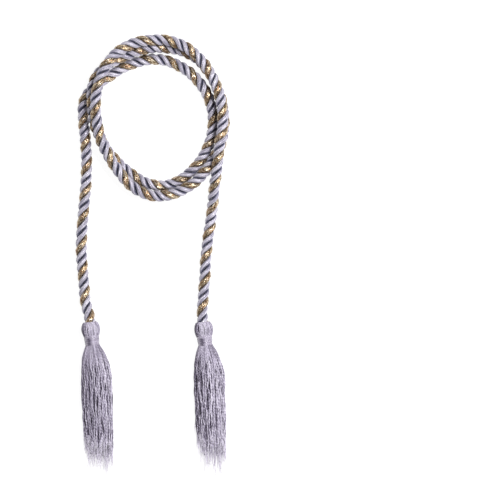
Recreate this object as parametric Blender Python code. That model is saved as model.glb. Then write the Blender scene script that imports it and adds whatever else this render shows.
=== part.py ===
"""Curtain tieback: a three-ply twisted rope lying in two and a half loose turns, with a tassel at each end.

It lies on a level surface at z = 0. Both tails run along -Y to their tassels, and the turns lie towards +Y.
"""

import math
import random

import bmesh
import bpy
import numpy as np
from mathutils import Vector

# Every length is in metres and every angle in degrees.
GAP = 0.0003                  # between pieces, and between turns of the rope that touch

# Rope: three plies laid right-handed.
ROPE_DIAMETER = 0.0103
ROPE_RADIUS = ROPE_DIAMETER / 2
LAY_PITCH = 0.0219            # one full turn of a ply, on average
RINGS_PER_PITCH = 8
PLIES = 3
PLY_SHOULDER = 22             # a ply's crown reaches this far to each side of its middle
GROOVE_RADIUS = 0.62 * ROPE_RADIUS
BEND_RADIUS = 0.040           # of the rope where it arches over another turn
SETTLE_LENGTH = 0.006         # over which the rope's rises are rounded off
SETTLE_ROUNDS = 5             # passes of the settling, which carry a rise up through every layer
CURVE_STEP = 0.0002           # along the route's curve where its length is measured
# How it is laid: distance from its left end, turns so far. At a whole turn the first ply is on top.
LAY = [
    (0.0000, -0.44), (0.0096, 0), (0.0753, 3), (0.1013, 4), (0.1465, 6), (0.1684, 7), (0.1889, 8),
    (0.2560, 11), (0.3655, 16), (0.3875, 17), (0.4080, 18), (0.4722, 21), (0.6255, 28), (0.6667, 30),
    (0.7910, 36), (0.8530, 39), (0.9243, 42), (0.9483, 43), (0.9937, 45), (1.0120, 46), (1.0996, 50),
    (1.1404, 52), (1.1825, 54), (1.2294, 56), (1.2732, 58), (1.3195, 60), (1.3403, 60.94),
]

# Route of the rope's centre line, seen from above: x, y along each tail, tassel end first.
LEFT_TAIL = [
    (-0.0585, -0.0500), (-0.0606, -0.0400), (-0.0615, -0.0280), (-0.0628, -0.0140), (-0.0638, 0.0000),
    (-0.0637, 0.0150), (-0.0626, 0.0300), (-0.0612, 0.0460), (-0.0598, 0.0620), (-0.0591, 0.0780),
    (-0.0596, 0.0940), (-0.0611, 0.1090), (-0.0624, 0.1220), (-0.0619, 0.1345), (-0.0573, 0.1446),
    (-0.0495, 0.1520),
]
RIGHT_TAIL = [
    (0.0452, -0.0490), (0.0461, -0.0370), (0.0472, -0.0230), (0.0480, -0.0080), (0.0495, 0.0080),
    (0.0516, 0.0230), (0.0536, 0.0380), (0.0551, 0.0530), (0.0568, 0.0670), (0.0586, 0.0790),
]
# The loose turns between the tails: clockwise angle from their top, distance from their centre.
TURNS_CENTRE = (0.0020, 0.1190)
TURNS = [
    (-48, 0.0578), (-32, 0.0558), (-15, 0.0555), (0, 0.0560), (20, 0.0550), (45, 0.0536), (75, 0.0530),
    (105, 0.0530), (130, 0.0545), (150, 0.0568), (168, 0.0585), (186, 0.0560), (200, 0.0525),
    (216, 0.0500), (235, 0.0497), (254, 0.0506), (270, 0.0536), (283, 0.0570), (294, 0.0616),
    (304, 0.0651), (317, 0.0659), (332, 0.0648), (347, 0.0652), (360, 0.0663), (375, 0.0675),
    (391, 0.0684), (407, 0.0663), (423, 0.0640), (440, 0.0630), (460, 0.0629), (478, 0.0636),
    (493, 0.0652), (508, 0.0674), (523, 0.0686), (536, 0.0678), (550, 0.0650), (563, 0.0604),
    (577, 0.0550), (592, 0.0519), (608, 0.0509), (622, 0.0510), (636, 0.0527), (648, 0.0556),
    (659, 0.0588), (669, 0.0622), (679, 0.0660), (690, 0.0698), (703, 0.0722), (720, 0.0733),
    (736, 0.0734), (752, 0.0704), (768, 0.0665), (784, 0.0634), (802, 0.0619), (819, 0.0615),
    (834, 0.0635),
]

# Tassel: a head round the rope's end, a neck under its binding, and a skirt spread on the surface.
TASSEL_LEAN = 6               # of the tassels' axis from -Y towards +X
HEAD_TOPS = {"left": (-0.0561, -0.0616), "right": (0.0456, -0.0616)}
AXIS_HEIGHT = 0.0080          # of the head's and neck's axis above the surface
SOCKET_DEPTH = 0.0060
STRAIGHT_LENGTH = 0.0040      # of the rope in line with its tassel, above the head
NECK_RADIUS = 0.0051
NECK_START, NECK_END = 0.0123, 0.0210
HEAD_PROFILE = [              # distance below the head's top, radius
    (0.0000, 0.0062), (0.0010, 0.0070), (0.0028, 0.0077), (0.0054, 0.00825), (0.0078, 0.00825),
    (0.0100, 0.0078), (NECK_START, 0.0071),
]
SKIRT = [                     # distance below the head's top, sideways offset, half width, underside, top
    (0.0210, 0.0000, 0.0063, 0.0017, 0.0143),
    (0.0250, 0.0001, 0.0085, 0.0009, 0.0149),
    (0.0300, 0.0003, 0.0104, 0.0004, 0.0147),
    (0.0480, 0.0007, 0.0142, 0.0000, 0.0134),
    (0.1000, -0.0029, 0.0137, 0.0000, 0.0104),
    (0.1360, -0.0032, 0.0134, 0.0000, 0.0060),
]
ROOT_STATION, SPREAD_STATION, LOWER_STATION = 2, 3, 4  # rows of SKIRT: strands part, full width, near ends
STRAND_COLUMNS, STRAND_ROWS = 14, 6
ROOT_FILL, SPREAD_FILL, LOWER_FILL = 0.80, 0.78, 0.62  # share of its cell that a strand takes up
STRAND_ENDS = [(-1.0, 0.1090), (-0.4, 0.1220), (0.2, 0.1310), (0.7, 0.1270), (1.0, 0.1190)]
END_SCATTER = 0.0045
WANDER = 0.10                 # of a strand sideways, in cells

# Binding: a band of wound thread round each neck.
BINDING_TOP_RADIUS, BINDING_END_RADIUS = 0.0070, 0.0064
BINDING_TURNS = 4
BINDING_GROOVE = 0.0003
BINDING_SEGMENTS = 28

ROPE_COLOUR = (0.56, 0.54, 0.60, 1.0)
TASSEL_COLOUR = (0.46, 0.42, 0.50, 1.0)
BINDING_COLOUR = (0.52, 0.48, 0.56, 1.0)


def clear_scene():
    for item in list(bpy.data.objects):
        bpy.data.objects.remove(item, do_unlink=True)


def make_material(name, colour, roughness):
    material = bpy.data.materials.new(name)
    material.use_nodes = True
    shader = material.node_tree.nodes["Principled BSDF"]
    shader.inputs["Base Color"].default_value = colour
    shader.inputs["Roughness"].default_value = roughness
    shader.inputs["Metallic"].default_value = 0.0
    return material


def finish_object(name, bm, material, sharp_angle):
    bmesh.ops.recalc_face_normals(bm, faces=bm.faces)
    mesh = bpy.data.meshes.new(name)
    bm.to_mesh(mesh)
    bm.free()
    mesh.materials.append(material)
    mesh.shade_smooth()
    mesh.set_sharp_from_angle(angle=math.radians(sharp_angle))
    item = bpy.data.objects.new(name, mesh)
    bpy.context.scene.collection.objects.link(item)
    return item


def bridge(bm, ring, next_ring):
    """Join two rings of the same number of points with a band of faces."""
    count = len(ring)
    for i in range(count):
        j = (i + 1) % count
        bm.faces.new((ring[i], ring[j], next_ring[j], next_ring[i]))


def close_ring(bm, ring, centre):
    middle = bm.verts.new(centre)
    for i, point in enumerate(ring):
        bm.faces.new((point, ring[(i + 1) % len(ring)], middle))


# ---- the rope's route ----

def smooth_curve(points, step):
    """Evenly spaced points along the natural cubic spline through the given ones."""
    points = np.array(points)
    knots = np.concatenate([[0], np.cumsum(np.linalg.norm(np.diff(points, axis=0), axis=1))])
    spans = np.diff(knots)
    system, right_side = np.eye(len(points)), np.zeros_like(points)
    for i in range(1, len(points) - 1):
        before, after = spans[i - 1], spans[i]
        system[i, i - 1:i + 2] = before, 2 * (before + after), after
        right_side[i] = 6 * ((points[i + 1] - points[i]) / after - (points[i] - points[i - 1]) / before)
    bend = np.linalg.solve(system, right_side)

    places = np.linspace(0, knots[-1], int(knots[-1] / CURVE_STEP))
    i = np.clip(np.searchsorted(knots, places, side="right") - 1, 0, len(spans) - 1)
    b = ((places - knots[i]) / spans[i])[:, None]
    a = 1 - b
    curve = a * points[i] + b * points[i + 1]
    curve += ((a**3 - a) * bend[i] + (b**3 - b) * bend[i + 1]) * spans[i, None]**2 / 6
    return evenly_spaced(curve, step)


def evenly_spaced(curve, step):
    lengths = np.concatenate([[0], np.cumsum(np.linalg.norm(np.diff(curve, axis=0), axis=1))])
    places = np.linspace(0, lengths[-1], round(lengths[-1] / step) + 1)
    return np.stack([np.interp(places, lengths, column) for column in curve.T], axis=1)


def tassel_direction():
    lean = math.radians(TASSEL_LEAN)
    return np.array([math.sin(lean), -math.cos(lean)])


def end_points(side):
    """The rope's end inside its head, and the point where the rope comes into line with the tassel."""
    top = np.array(HEAD_TOPS[side])
    return [tuple(top + tassel_direction() * d) for d in (SOCKET_DEPTH - GAP, -STRAIGHT_LENGTH)]


def route_plan(step):
    """The centre line seen from above, from the end in the left tassel to the end in the right one."""
    turns = []
    for angle, distance in TURNS:
        turns.append((TURNS_CENTRE[0] + distance * math.sin(math.radians(angle)),
                      TURNS_CENTRE[1] + distance * math.cos(math.radians(angle))))
    points = end_points("left") + LEFT_TAIL + turns + RIGHT_TAIL[::-1] + end_points("right")[::-1]
    return smooth_curve(points, step)


def lay_down(plan, step):
    """Heights of the centre line: each pass lies on the surface or arches over the earlier ones."""
    order = np.arange(len(plan)) * step
    reach = ROPE_DIAMETER + GAP
    apart = np.linalg.norm(plan[:, None] - plan[None], axis=2)
    later = order[:, None] - order[None]
    over = (later > 3 * ROPE_DIAMETER) & (apart < reach)
    rise = np.sqrt(np.maximum(reach**2 - apart**2, 0)) + SETTLE_LENGTH**2 / (2 * BEND_RADIUS)

    arch = later**2 / (2 * BEND_RADIUS)
    blur = np.exp(-0.5 * (later / SETTLE_LENGTH)**2)
    blur /= blur.sum(axis=1, keepdims=True)

    in_line = SOCKET_DEPTH + STRAIGHT_LENGTH
    at_ends = (order < in_line) | (order > order[-1] - in_line)
    heights = np.full(len(plan), ROPE_RADIUS)
    for _ in range(SETTLE_ROUNDS):
        needed = np.where(over, heights[None] + rise, ROPE_RADIUS).max(axis=1)
        needed[at_ends] = AXIS_HEIGHT
        arched = (needed[None] - arch).max(axis=1)
        heights = blur @ np.maximum(arched, ROPE_RADIUS)
    return heights


def rope_route(step):
    fine_step = step / 2
    plan = route_plan(fine_step)
    return evenly_spaced(np.column_stack([plan, lay_down(plan, fine_step)]), step)


# ---- the rope ----

def ply_section():
    """The rope's outline as angles and radii: two shoulders to each ply and a groove after it."""
    outline = []
    for ply in range(PLIES):
        middle = ply * 360 / PLIES
        outline.append((middle - PLY_SHOULDER, ROPE_RADIUS))
        outline.append((middle + PLY_SHOULDER, ROPE_RADIUS))
        outline.append((middle + 180 / PLIES, GROOVE_RADIUS))
    return outline


def make_rope(material):
    step = LAY_PITCH / RINGS_PER_PITCH
    route = rope_route(step)
    tangents = np.gradient(route, axis=0)
    distances, turns = zip(*LAY)
    bm = bmesh.new()
    rings = []
    for number, (centre, tangent) in enumerate(zip(route, tangents)):
        along = Vector(tangent).normalized()
        to_left = Vector((0, 0, 1)).cross(along).normalized()
        upward = along.cross(to_left)
        twist = 360 * float(np.interp(number * step, distances, turns))
        ring = []
        for angle, radius in ply_section():
            turn = math.radians(angle + twist)
            outward = math.cos(turn) * upward - math.sin(turn) * to_left
            ring.append(bm.verts.new(Vector(centre) + radius * outward))
        rings.append(ring)
    for ring, next_ring in zip(rings, rings[1:]):
        bridge(bm, ring, next_ring)
    close_ring(bm, rings[0], route[0])
    close_ring(bm, rings[-1], route[-1])
    return finish_object("rope", bm, material, 60)


# ---- the tassels ----

def unit_boundary():
    """The grid points round the edge of the unit square, anticlockwise from its lower left corner."""
    across = [-1 + 2 * i / STRAND_COLUMNS for i in range(STRAND_COLUMNS)]
    upward = [-1 + 2 * i / STRAND_ROWS for i in range(STRAND_ROWS)]
    return ([(u, -1) for u in across] + [(1, v) for v in upward]
            + [(-u, 1) for u in across] + [(-1, -v) for v in upward])


def section_point(u, v, station, squareness):
    """A point of the unit square, placed in a cross-section that is round or has a flat underside."""
    distance, offset, half_width, underside, top = station
    square = squareness * (1 - v) / 2
    across = u * (square + (1 - square) * math.sqrt(1 - v * v / 2))
    upward = v * (square + (1 - square) * math.sqrt(1 - u * u / 2))
    height = (underside + top + (top - underside) * upward) / 2
    return Vector((offset + half_width * across, -distance, height))


def round_station(distance, radius):
    return distance, 0.0, radius, AXIS_HEIGHT - radius, AXIS_HEIGHT + radius


def squareness_at(station_number):
    return min(station_number / ROOT_STATION, 1.0)


def add_ring(bm, station, squareness):
    return [bm.verts.new(section_point(u, v, station, squareness)) for u, v in unit_boundary()]


def socket_radius():
    """Clear of the rope by the gap at the middle of each facet as well."""
    return (ROPE_RADIUS + GAP) / math.cos(math.pi / len(unit_boundary()))


def strand_end(u):
    places, ends = zip(*STRAND_ENDS)
    return float(np.interp(u, places, ends))


def station_at(distance):
    rows = np.array(SKIRT)
    return tuple(float(np.interp(distance, rows[:, 0], column)) for column in rows.T)


def cell_corners(column, row):
    left, right = (-1 + 2 * (column + i) / STRAND_COLUMNS for i in (0, 1))
    lower, upper = (-1 + 2 * (row + i) / STRAND_ROWS for i in (0, 1))
    return left, right, lower, upper


def strand_section(bm, cell, station, fill, shift, lifted):
    """Four points round a strand, on the floor of its cell or lifted to the cell's middle."""
    left, right, lower, upper = cell
    spare_width, spare_height = (right - left) * (1 - fill), (upper - lower) * (1 - fill)
    start = left + spare_width / 2 + shift * (right - left)
    floor = lower + (spare_height / 2 if lifted else 0)
    end, ceiling = start + (right - left) * fill, floor + (upper - lower) * fill
    corners = ((start, floor), (end, floor), (end, ceiling), (start, ceiling))
    return [bm.verts.new(section_point(u, v, station, 1.0)) for u, v in corners]


def add_strand(bm, grid, column, row, chance):
    cell = cell_corners(column, row)
    left, right, lower, _ = cell
    middle = (left + right) / 2
    root = strand_section(bm, cell, SKIRT[ROOT_STATION], ROOT_FILL, 0, True)
    around = [grid[column, row], grid[column + 1, row], grid[column + 1, row + 1], grid[column, row + 1]]
    bridge(bm, around, root)
    shifts = [chance.uniform(-WANDER, WANDER) for _ in range(3)]
    spread = strand_section(bm, cell, SKIRT[SPREAD_STATION], SPREAD_FILL, shifts[0], False)
    low = strand_section(bm, cell, SKIRT[LOWER_STATION], LOWER_FILL, shifts[1], False)
    bridge(bm, root, spread)
    bridge(bm, spread, low)
    end = strand_end(middle) + chance.uniform(-END_SCATTER, END_SCATTER)
    close_ring(bm, low, section_point(middle + shifts[2] * (right - left), lower, station_at(end), 1.0))


def add_root_grid(bm, boundary):
    """The points of the skirt's root face by column and row, sharing its edge with the last ring."""
    edge = dict(zip(unit_boundary(), boundary))
    grid = {}
    for column in range(STRAND_COLUMNS + 1):
        for row in range(STRAND_ROWS + 1):
            u, v = -1 + 2 * column / STRAND_COLUMNS, -1 + 2 * row / STRAND_ROWS
            shared = [point for place, point in edge.items() if math.dist(place, (u, v)) < 1e-6]
            if shared:
                grid[column, row] = shared[0]
            else:
                grid[column, row] = bm.verts.new(section_point(u, v, SKIRT[ROOT_STATION], 1.0))
    return grid


def flatten_underside(bm):
    """Give the head its small flat spot on the surface."""
    surface = {"plane_co": (0, 0, 0), "plane_no": (0, 0, -1)}
    everything = bm.verts[:] + bm.edges[:] + bm.faces[:]
    cut = bmesh.ops.bisect_plane(bm, geom=everything, clear_outer=True, **surface)
    rim = [item for item in cut["geom_cut"] if isinstance(item, bmesh.types.BMEdge)]
    bmesh.ops.contextual_create(bm, geom=rim)


def make_tassel(side, seed, material):
    chance = random.Random(seed)
    bm = bmesh.new()
    socket = [add_ring(bm, round_station(distance, socket_radius()), 0) for distance in (SOCKET_DEPTH, 0)]
    head = [add_ring(bm, round_station(*row), 0) for row in HEAD_PROFILE]
    neck = [add_ring(bm, round_station(distance, NECK_RADIUS), 0) for distance in (NECK_START, NECK_END)]
    rings = socket + head + neck
    for ring, next_ring in zip(rings, rings[1:]):
        bridge(bm, ring, next_ring)
    close_ring(bm, socket[0], (0, -SOCKET_DEPTH, AXIS_HEIGHT))
    flatten_underside(bm)

    flare = [neck[-1]]
    for number, station in enumerate(SKIRT[:ROOT_STATION + 1]):
        flare.append(add_ring(bm, station, squareness_at(number)))
    for ring, next_ring in zip(flare, flare[1:]):
        bridge(bm, ring, next_ring)
    grid = add_root_grid(bm, flare[-1])
    for column in range(STRAND_COLUMNS):
        for row in range(STRAND_ROWS):
            add_strand(bm, grid, column, row, chance)

    tassel = finish_object(f"{side}_tassel", bm, material, 50)
    place_on_axis(tassel, side)
    return tassel


def make_binding(side, material):
    """A band of wound thread: rounded turns outside, and a plain bore that clears the neck."""
    bore = (NECK_RADIUS + GAP) / math.cos(math.pi / BINDING_SEGMENTS)
    start, end = NECK_START + GAP, NECK_END - GAP
    turn = (end - start) / BINDING_TURNS
    narrowing = (BINDING_TOP_RADIUS - BINDING_END_RADIUS) / BINDING_TURNS
    profile = [(start, bore), (start, BINDING_TOP_RADIUS - BINDING_GROOVE)]
    for number in range(BINDING_TURNS):
        crown = BINDING_TOP_RADIUS - (number + 0.5) * narrowing
        profile.append((start + (number + 0.5) * turn, crown))
        profile.append((start + (number + 1) * turn, crown - BINDING_GROOVE))
    profile.append((end, bore))

    bm = bmesh.new()
    rings = []
    for distance, radius in profile:
        angles = [2 * math.pi * i / BINDING_SEGMENTS for i in range(BINDING_SEGMENTS)]
        rings.append([bm.verts.new((radius * math.cos(a), -distance, AXIS_HEIGHT + radius * math.sin(a)))
                      for a in angles])
    for ring, next_ring in zip(rings, rings[1:] + rings[:1]):
        bridge(bm, ring, next_ring)
    binding = finish_object(f"{side}_binding", bm, material, 50)
    place_on_axis(binding, side)
    return binding


def place_on_axis(item, side):
    """Put an object made along -Y below the origin at its head's top, leaning with its tassel."""
    x, y = HEAD_TOPS[side]
    item.location = (x, y, 0)
    item.rotation_euler.z = math.radians(TASSEL_LEAN)


def main():
    clear_scene()
    make_rope(make_material("twisted_cord", ROPE_COLOUR, 0.45))
    tassel_material = make_material("tassel_thread", TASSEL_COLOUR, 0.6)
    binding_material = make_material("binding_thread", BINDING_COLOUR, 0.35)
    for seed, side in enumerate(HEAD_TOPS):
        make_tassel(side, seed, tassel_material)
        make_binding(side, binding_material)


main()
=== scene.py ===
"""Looks of the curtain tieback: a three-ply satin and lurex rope with a thread tassel on each end.

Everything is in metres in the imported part's frame: the tieback lies on z = 0 with its tassels towards -Y.
"""

import math

import bpy
import numpy as np
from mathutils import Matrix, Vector


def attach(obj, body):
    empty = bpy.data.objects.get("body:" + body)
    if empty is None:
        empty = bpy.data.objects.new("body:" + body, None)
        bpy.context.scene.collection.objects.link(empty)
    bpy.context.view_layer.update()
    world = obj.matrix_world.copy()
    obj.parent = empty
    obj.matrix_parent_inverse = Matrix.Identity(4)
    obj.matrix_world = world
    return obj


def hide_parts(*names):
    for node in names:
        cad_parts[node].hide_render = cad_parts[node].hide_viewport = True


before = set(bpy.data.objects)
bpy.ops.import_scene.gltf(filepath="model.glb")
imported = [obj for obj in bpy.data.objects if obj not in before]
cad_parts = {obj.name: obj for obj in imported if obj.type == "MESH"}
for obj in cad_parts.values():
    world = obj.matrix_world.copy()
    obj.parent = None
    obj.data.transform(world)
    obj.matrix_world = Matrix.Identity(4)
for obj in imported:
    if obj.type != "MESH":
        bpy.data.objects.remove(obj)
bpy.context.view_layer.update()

# ---- the photograph's frame ----
PHOTO_PIXELS = 500
PIXEL = 0.0009                      # real width of one pixel of the photograph
ORIGIN_PIXEL = (152.3, 253.5)       # the pixel that shows the frame's origin
LENS, SENSOR = 900, 36              # mm; a long lens, as the photograph shows no perspective
FOCUS_HEIGHT = 0.010                # of the plane that fills the frame

# ---- the rope ----
GAP = 0.0003                        # between the rope and what it touches
ROPE_DIAMETER = 0.0103
ROPE_RADIUS = ROPE_DIAMETER / 2
ROPE_LENGTH = 1.34
LAY_PITCH = 0.0219                  # one full turn of a ply, on average
RINGS_PER_PITCH = 18
BEND_RADIUS = 0.040                 # of the rope where it arches over another turn
SETTLE_LENGTH = 0.006               # over which the rope's rises are rounded off
SETTLE_ROUNDS = 5
CURVE_STEP = 0.0002                 # along a spline, before its points are spaced evenly
PASS_LENGTH = 3 * ROPE_DIAMETER     # along the rope, past which a place is on another pass
ROUTE_STEPS_PER_PITCH = 16          # where its heights are worked out
CONTACT_SHADE_REACH = 0.0030                 # how near another turn of the rope has to be to put painted shade on its plies
# How it is laid: distance from its left end, turns so far. At a whole turn the gold ply is on top.
LAY = [
    (0.0000, -0.35), (0.0076, 0), (0.0753, 3), (0.1013, 4), (0.1465, 6), (0.1684, 7), (0.1889, 8),
    (0.2560, 11), (0.3655, 16), (0.3875, 17), (0.4080, 18), (0.4722, 21), (0.6255, 28), (0.6667, 30),
    (0.7910, 36), (0.8530, 39), (0.9243, 42), (0.9483, 43), (0.9937, 45), (1.0120, 46), (1.0996, 50),
    (1.1404, 52), (1.1825, 54), (1.2294, 56), (1.2732, 58), (1.3195, 60), (1.3403, 60.94),
]
# Route of the rope's centre line, seen from above: x, y along each tail, tassel end first.
LEFT_TAIL = [
    (-0.0585, -0.0500), (-0.0606, -0.0400), (-0.0615, -0.0280), (-0.0628, -0.0140), (-0.0638, 0.0000),
    (-0.0637, 0.0150), (-0.0626, 0.0300), (-0.0612, 0.0460), (-0.0598, 0.0620), (-0.0591, 0.0780),
    (-0.0596, 0.0940), (-0.0609, 0.1090), (-0.0621, 0.1220), (-0.0619, 0.1345), (-0.0573, 0.1446),
    (-0.0495, 0.1520),
]
RIGHT_TAIL = [
    (0.0452, -0.0490), (0.0461, -0.0370), (0.0472, -0.0230), (0.0480, -0.0080), (0.0495, 0.0080),
    (0.0516, 0.0230), (0.0536, 0.0380), (0.0551, 0.0530), (0.0568, 0.0670), (0.0586, 0.0790),
]
# The loose turns between the tails: clockwise angle from their top, distance from their centre.
TURNS_CENTRE = (0.0020, 0.1190)
TURNS = [
    (-48, 0.0581), (-32, 0.0561), (-15, 0.0555), (0, 0.0560), (20, 0.0550), (45, 0.0536), (75, 0.0530),
    (105, 0.0530), (130, 0.0545), (150, 0.0568), (168, 0.0586), (186, 0.0563), (200, 0.0527),
    (216, 0.0500), (235, 0.0497), (254, 0.0511), (270, 0.0544), (283, 0.0573), (294, 0.0616),
    (304, 0.0651), (317, 0.0659), (332, 0.0648), (347, 0.0652), (360, 0.0663), (375, 0.0675),
    (391, 0.0684), (407, 0.0663), (423, 0.0640), (440, 0.0630), (460, 0.0629), (478, 0.0631),
    (493, 0.0641), (508, 0.0659), (523, 0.0673), (536, 0.0675), (550, 0.0650), (563, 0.0604),
    (577, 0.0550), (592, 0.0519), (608, 0.0509), (622, 0.0510), (636, 0.0527), (648, 0.0556),
    (659, 0.0588), (669, 0.0622), (679, 0.0660), (690, 0.0698), (703, 0.0722), (720, 0.0733),
    (736, 0.0734), (752, 0.0704), (768, 0.0665), (784, 0.0634), (802, 0.0619), (819, 0.0615),
    (834, 0.0635),
]

# A ply's distance from the rope's middle and its radius, then how many yarns it has, how long one turn of
# theirs is, how deep the grooves between them are and how uneven they are.
SILVER_YARNS = {"helix": 0.00308, "radius": 0.00205, "count": 11, "pitch": 0.055, "groove": 0.00028,
                "knots": 0.00005}
GOLD_YARNS = {"helix": 0.00245, "radius": 0.00288, "count": 8, "pitch": 0.030, "groove": 0.00034,
              "knots": 0.00014}
POINTS_PER_YARN = 4                 # across it, in each ring of points of its ply
PLY_PLACES = {"gold_ply": 0, "first_silver_ply": 1 / 3, "second_silver_ply": 2 / 3}   # turns round the rope
FLANK_SHADE_ANGLE = 102                   # degrees off a ply's crown where its painted flank shade is darkest
FLANK_SHADE_SHIFT = 0.28                  # how much sooner a silver ply's painted flank shade darkens towards the other one
FLANK_SIDES = {"gold_ply": 0, "first_silver_ply": 1, "second_silver_ply": -1}   # where that one lies
KNOT_SPREAD = 1.7                   # of the yarns' unevenness, times their own knots

# ---- the tassels ----
TASSEL_LEAN = 6                     # degrees off -Y, towards +X
HEAD_TOPS = {"left": (-0.0561, -0.0616), "right": (0.0456, -0.0616)}
AXIS_HEIGHT = 0.0080                # of the middle of the heads, above the floor
SOCKET_DEPTH = 0.0060               # of the rope's end inside its head
STRAIGHT_LENGTH = 0.0040            # of the rope in line with its tassel, above the head
HEAD_PROFILE = [                    # distance below the head's top, radius
    (0.0032, 0.0049), (0.0012, 0.0050), (0.0003, 0.0053), (0.0002, 0.0058), (0.0008, 0.0065),
    (0.0024, 0.0074), (0.0050, 0.0081), (0.0078, 0.0082), (0.0100, 0.0078), (0.0123, 0.0071),
    (0.0140, 0.0065), (0.0150, 0.0061),
]
PROFILE_STEP = 0.0003
HEAD_THREADS = 130
HEAD_THREAD_STEPS = 26
HEAD_THREAD_RADIUS = 0.00028
HEAD_THREAD_SIDES = 5
HEAD_THREAD_LENGTH = 0.022
HEAD_THREAD_LIFT = 0.00016          # how far some lie above others
HEAD_LOOSENESS = 0.7
HEAD_PARTING_ANGLE = 128            # of the dark slit between its threads, from +X towards +Z
HEAD_PARTING_PUSH, HEAD_PARTING_REACH = 0.09, 0.25   # radians
CORE_SIDES = 48
CORE_INSET = 0.0005                 # of the core inside the head's threads
CORE_SHARE = 0.66                   # of the skirt's section that the core fills
CORE_START, CORE_END, CORE_STEP = 0.0150, 0.0950, 0.0015
CORE_TIP, CORE_TAPER = 0.0965, 0.030   # where it would come to a point, and over what length
# painted shade: the core's dark tone
CORE_SHADE_TONE = -0.2
BAND_START, BAND_END = 0.0124, 0.0212
BAND_TOP_RADIUS, BAND_END_RADIUS = 0.0068, 0.0061
BAND_TURNS = 24
BAND_THREAD_RADIUS = 0.00024
BAND_THREAD_SIDES = 8
BAND_SEGMENTS = 64
BAND_TURN_LENGTH = 0.042            # of its thread
BAND_SHADE_ANGLE = 114               # where a dark patch of painted shade lies on it, from +X towards +Z
BAND_SHADE_SPREAD = 11               # degrees, of that patch
BAND_LOOSENESS = 0.8
SKIRT = [                           # distance below the head's top, sideways, half width, underside, top
    (0.0120, 0.0000, 0.0050, 0.0030, 0.0130),
    (0.0205, 0.0000, 0.0058, 0.0022, 0.0138),
    (0.0250, 0.0001, 0.0083, 0.0009, 0.0149),
    (0.0300, 0.0003, 0.0102, 0.0004, 0.0147),
    (0.0400, 0.0006, 0.0127, 0.0002, 0.0141),
    (0.0500, 0.0006, 0.0138, 0.0000, 0.0134),
    (0.0670, -0.0008, 0.0138, 0.0000, 0.0124),
    (0.0870, -0.0021, 0.0136, 0.0000, 0.0112),
    (0.1060, -0.0034, 0.0129, 0.0000, 0.0098),
    (0.1360, -0.0058, 0.0122, 0.0000, 0.0060),
]
SKIRT_STEP = 0.0005
SKIRT_ROUNDING = 4.0                # steps over which the corners of SKIRT are rounded off
SKIRT_ROUNDING_REACH = 12
OUTLINE_POINTS = 721                # round the skirt's section
OUTLINE_DISTANCE = 0.06             # of that section below the head's top
TOP_POWER, FLOOR_POWER = 2.0, 3.5   # of the section's curve above and below: round, and nearly square
SKIRT_START = 0.0195
SKIRT_ENDS = [                      # place across, distance below the head's top
    (-1.0, 0.1015), (-0.75, 0.1045), (-0.55, 0.1098), (-0.3, 0.1130), (0.0, 0.1145), (1.0, 0.1152),
]
LONGEST_THREAD, LONGEST_YARN = 0.1385, 0.1295
YARN_SCATTER = 0.0040               # of their ends
SKIRT_LAYERS = [                    # yarns, share of the section that they lie at, tone (lower in the deeper layers, as painted shade), radius
    (72, 0.96, 0.64, 0.00049),
    (64, 0.86, 0.22, 0.00052),
    (46, 0.74, 0.00, 0.00060),
]
SKIRT_PARTINGS = [                  # place across, from and to (below the head's top), width
    (-0.86, 0.046, 0.076, 0.0014),
    (-0.72, 0.060, 0.092, 0.0013),
    (-0.62, 0.034, 0.044, 0.0008),
    (-0.53, 0.042, 0.072, 0.0022),
    (-0.48, 0.078, 0.094, 0.0016),
    (-0.14, 0.036, 0.044, 0.0009),
    (-0.23, 0.058, 0.081, 0.0017),
    (-0.38, 0.092, 0.116, 0.0014),
    (0.06, 0.040, 0.047, 0.0009),
    (-0.05, 0.053, 0.061, 0.0009),
    (0.51, 0.042, 0.049, 0.0009),
    (0.60, 0.053, 0.063, 0.0010),
    (0.35, 0.092, 0.104, 0.0010),
]
PARTING_TAPER, PARTING_REACH = 0.004, 0.0035
YARN_STEPS, YARN_SIDES = 48, 6
YARN_TWIST = 1.15                   # radians for each millimetre, of its two strands
YARN_FLANK_SHADE = 0.62                   # how much painted shade darkens its flanks
SIDE_WAVES = [(0.00030, 0.012), (0.00045, 0.031)]   # height and length of each yarn's waves to the side
LIFT_WAVES = [(0.00022, 0.015), (0.00030, 0.037)]   # and of those outward
LOCKS = 27
FLOOR_CLEARANCE = 0.0001            # below the lowest yarns
FRAYED_THREADS = 4                  # at each yarn's end
FRAYED_STEPS, FRAYED_SIDES = 8, 3
FRAYED_RADIUS = 0.00012
FILLING_YARNS = 76                  # inside the skirt's open end
FILLING_START, FILLING_END = 0.0800, 0.1110
FILLING_SHARE = 0.74                # of the skirt's section that they fill
FILLING_RADIUS = 0.00062
FILLING_STEPS = 9

# ---- the stage and lights ----
FLOOR_REACH, FLOOR_LEVEL = 4.0, -0.0003
LIGHT_TARGET = (0.0, 0.03, 0.0)


def srgb(red, green, blue):
    """A colour given in 0-255 display values, as linear values with alpha."""
    channels = [value / 255 for value in (red, green, blue)]
    return tuple(c / 12.92 if c <= 0.04045 else ((c + 0.055) / 1.055) ** 2.4 for c in channels) + (1.0,)


# ---- the rope's route ----

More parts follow.
